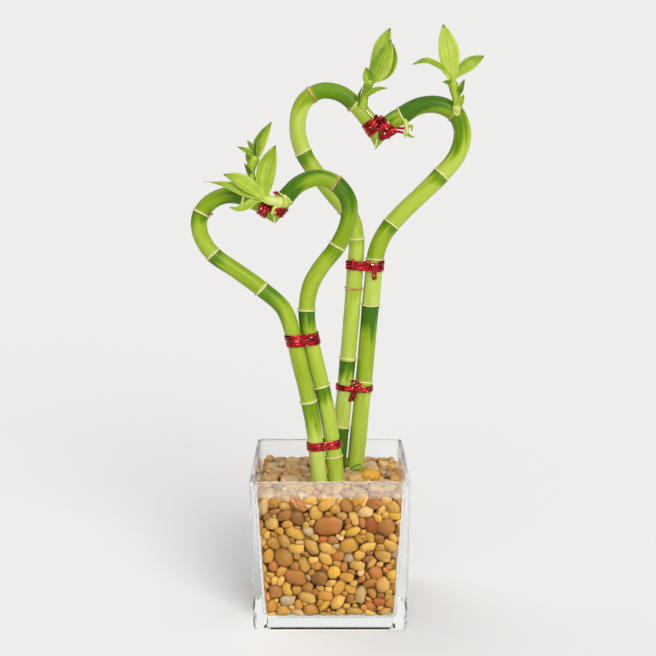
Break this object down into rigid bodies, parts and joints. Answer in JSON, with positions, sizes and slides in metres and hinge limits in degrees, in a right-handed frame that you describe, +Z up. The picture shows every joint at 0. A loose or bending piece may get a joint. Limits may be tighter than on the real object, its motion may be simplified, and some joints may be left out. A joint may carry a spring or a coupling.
{
  "type": "potted lucky bamboo",
  "caption": "Lucky bamboo canes trained into heart-shaped arches and tied with red foil wire, standing in pebbles in a square clear glass vase.",
  "frame": {"origin": "middle of the vase's underside, on the surface that it stands on", "axes": "+Z up along the canes, -Y towards the viewer of the hearts, +X to the viewer's right"},
  "size_m": [0.1832, 0.1, 0.3743],
  "materials": {
    "glass": "polished",
    "pebbles": "satin",
    "canes": "satin",
    "leaves": "satin",
    "foil_ties": "gloss"
  },
  "bodies": {
    "root": {"vase": "glass", "pebbles": "pebbles", "cane_front_left": "canes", "cane_front_right": "canes", "cane_back_left": "canes", "cane_back_right": "canes", "shoot_front": "leaves", "shoot_back_left": "leaves", "shoot_back_right": "leaves", "sprout_back": "leaves", "tie_front_lower": "foil_ties", "tie_front_upper": "foil_ties", "tie_front_joint": "foil_ties", "tie_back_lower": "foil_ties", "tie_back_upper": "foil_ties", "tie_back_joint": "foil_ties"}
  },
  "joints": []
}
